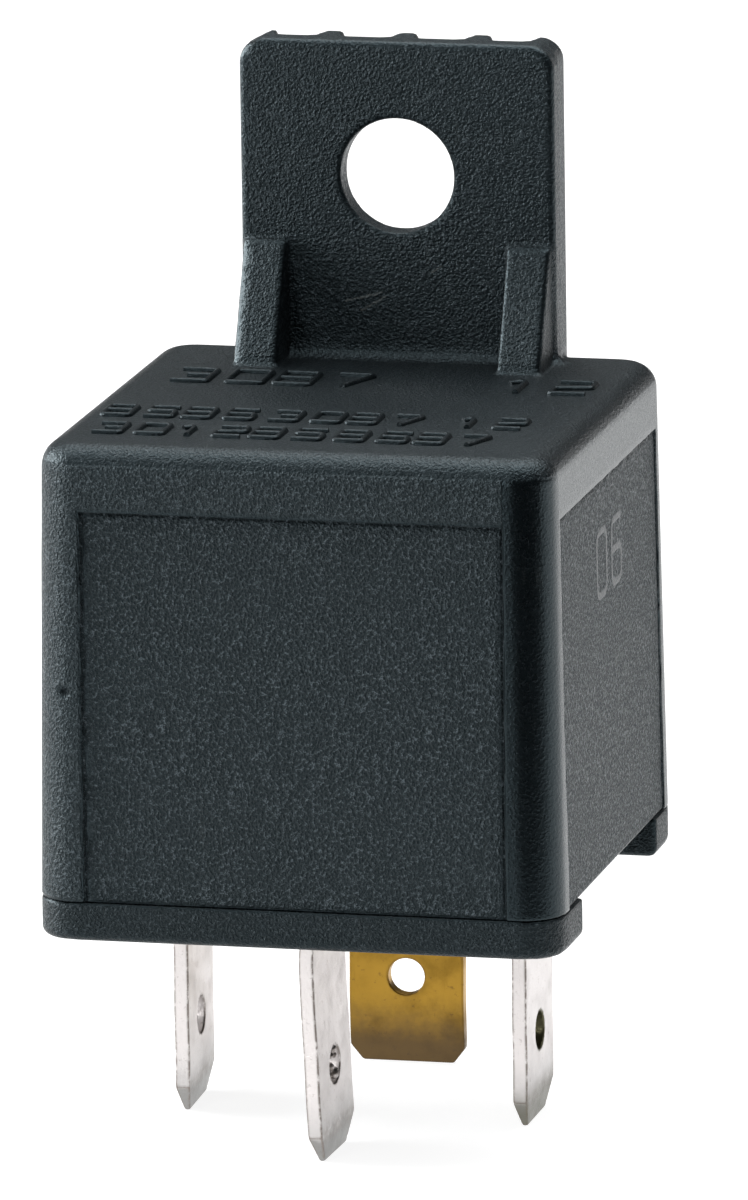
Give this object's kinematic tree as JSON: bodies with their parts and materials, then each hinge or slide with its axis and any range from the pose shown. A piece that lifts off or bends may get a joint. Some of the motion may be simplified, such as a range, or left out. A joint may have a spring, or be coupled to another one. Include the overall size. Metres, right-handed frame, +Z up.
{
  "type": "automotive relay",
  "caption": "Plug-in automotive relay with flat blade terminals, a normally open contact and a bracket tab with a fixing hole on its moulded cover.",
  "frame": {"origin": "on the axis of the cover's middle, at the level of the blade tips", "axes": "+X to the right seen from the front, +Y to the back where the bracket tab stands, +Z up along the blades towards the tab"},
  "size_m": [0.0282, 0.0286, 0.0555],
  "materials": {
    "cover_plastic": "fine grained black thermoplastic",
    "base_plastic": "smooth black thermoplastic",
    "tinned_blade": "tinned, satin, lightly scratched; stands for tinned brass",
    "brass_blade": "bare brass, tarnished",
    "magnet_steel": "zinc plated soft iron, satin",
    "bobbin_plastic": "natural moulded nylon",
    "coil_wire": "enamelled copper wire, glossy",
    "spring_bronze": "rolled bronze strip, satin",
    "contact_silver": "silver alloy, satin",
    "plated_strip": "plated steel strip, satin",
    "rivet_steel": "plated steel, satin",
    "braid_copper": "fine copper braid, satin"
  },
  "bodies": {
    "housing": {"cover": "cover_plastic", "base_plate": "base_plastic", "terminal_30": "tinned_blade", "terminal_85": "tinned_blade", "terminal_86": "tinned_blade", "terminal_87": "brass_blade", "yoke": "magnet_steel", "core": "magnet_steel", "bobbin": "bobbin_plastic", "winding": "coil_wire", "coil_lead_85": "coil_wire", "coil_lead_86": "coil_wire", "fixed_contact": "contact_silver", "armature_stop": "plated_strip", "yoke_rivets": "rivet_steel", "terminal_rivet": "rivet_steel", "braid": "braid_copper"},
    "armature": {"armature": "magnet_steel", "moving_contact": "contact_silver", "armature_rivets": "rivet_steel", "contact_spring": "spring_bronze"}
  },
  "joints": [
    {"name": "armature_hinge", "type": "hinge", "parent": "housing", "child": "armature", "pos_m": [0.0003, -0.00825, 0.03265], "axis": [-1, 0, 0], "range_deg": [0, 2], "stiffness_Nm_per_rad": 0.1, "springref_deg": -2.86, "deforming": ["contact_spring", "braid"]}
  ]
}
